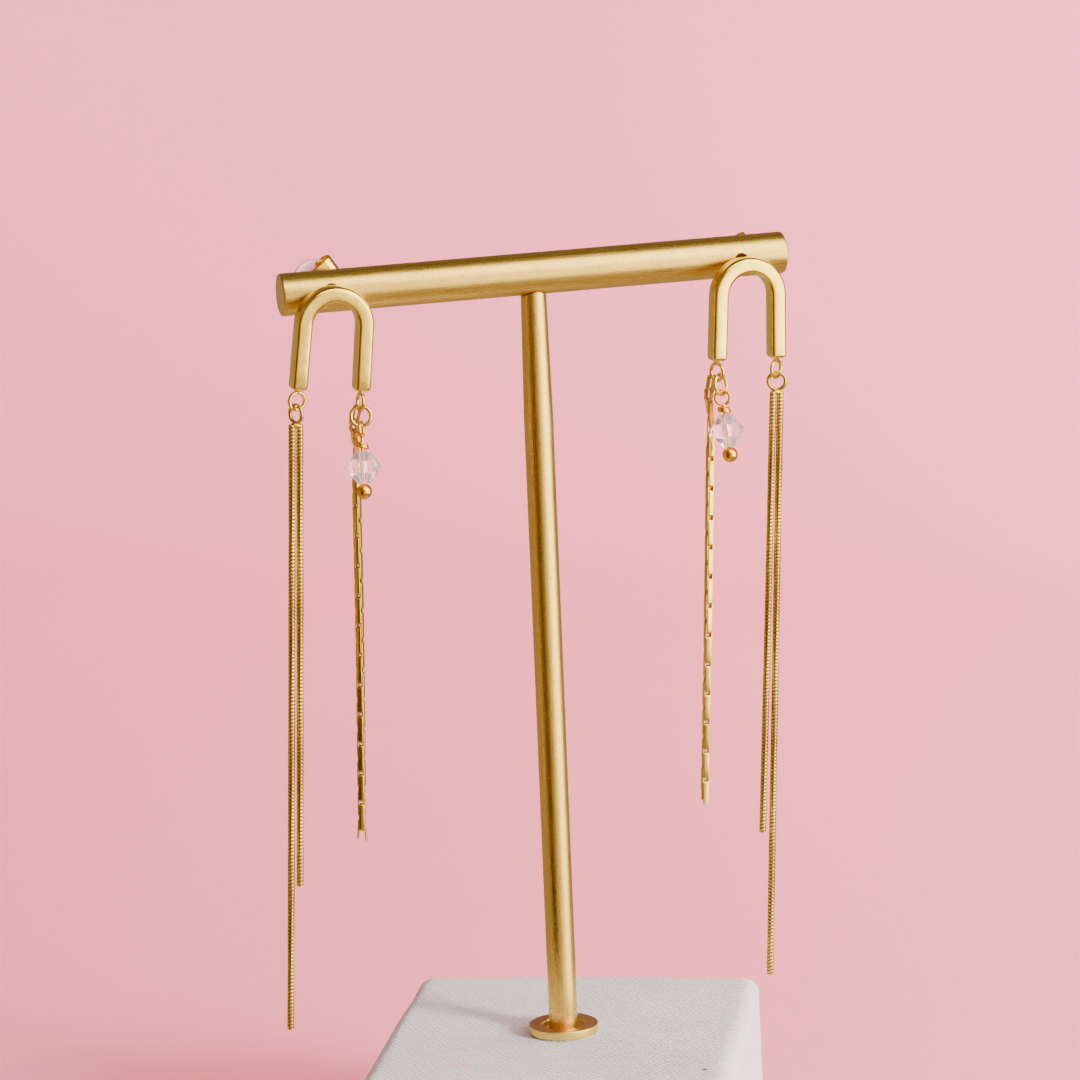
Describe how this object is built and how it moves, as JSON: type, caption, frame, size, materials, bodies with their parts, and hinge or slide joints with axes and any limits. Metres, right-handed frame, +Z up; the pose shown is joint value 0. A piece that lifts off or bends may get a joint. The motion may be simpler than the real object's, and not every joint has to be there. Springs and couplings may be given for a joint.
{
  "type": "pair of dangle earrings on a T-bar stand",
  "caption": "Pair of mirrored gold arch earrings with snake chains, a link chain and a crystal drop, hanging on a brass T-bar stand with a canvas-covered block base.",
  "frame": {"origin": "On the block's level underside, plumb below the middle of the block's top, where the stem stands. The stand leans 2.8 degrees towards -X about that middle as one piece, and the rings and chains hang plumb.", "axes": "+Z up through the stand, +Y to the back: the ear posts point to +Y and the earrings hang in front of the bar. +X to the right as seen from the front; the bar is turned 23.2 degrees about +Z, its right end to the back."},
  "size_m": [0.0704, 0.059, 0.1469],
  "materials": {
    "canvas": "off-white woven canvas over a block, matt, lightly soiled",
    "brushed_brass": "satin brass, drawn along its length, fine scratches and small pits",
    "polished_gold": "polished pale gold plating",
    "warm_gold": "polished warm gold plating",
    "chain_gold": "gold-plated fine chain, lightly worn",
    "crystal_glass": "clear cut crystal glass, sharp facets",
    "clear_plastic": "clear soft plastic, slightly milky"
  },
  "bodies": {
    "root": {"base_block": "canvas", "base_collar": "brushed_brass", "stand_stem": "brushed_brass", "stand_crossbar": "brushed_brass", "arch_left": "polished_gold", "ear_nut_left": "polished_gold", "nut_disc_left": "clear_plastic", "snake_chains_left": "chain_gold", "link_chain_left": "chain_gold", "drop_ring_left": "warm_gold", "drop_pin_left": "warm_gold", "crystal_left": "crystal_glass", "arch_right": "polished_gold", "ear_nut_right": "polished_gold", "nut_disc_right": "clear_plastic", "snake_chains_right": "chain_gold", "link_chain_right": "chain_gold", "drop_ring_right": "warm_gold", "drop_pin_right": "warm_gold", "crystal_right": "crystal_glass"}
  },
  "joints": []
}
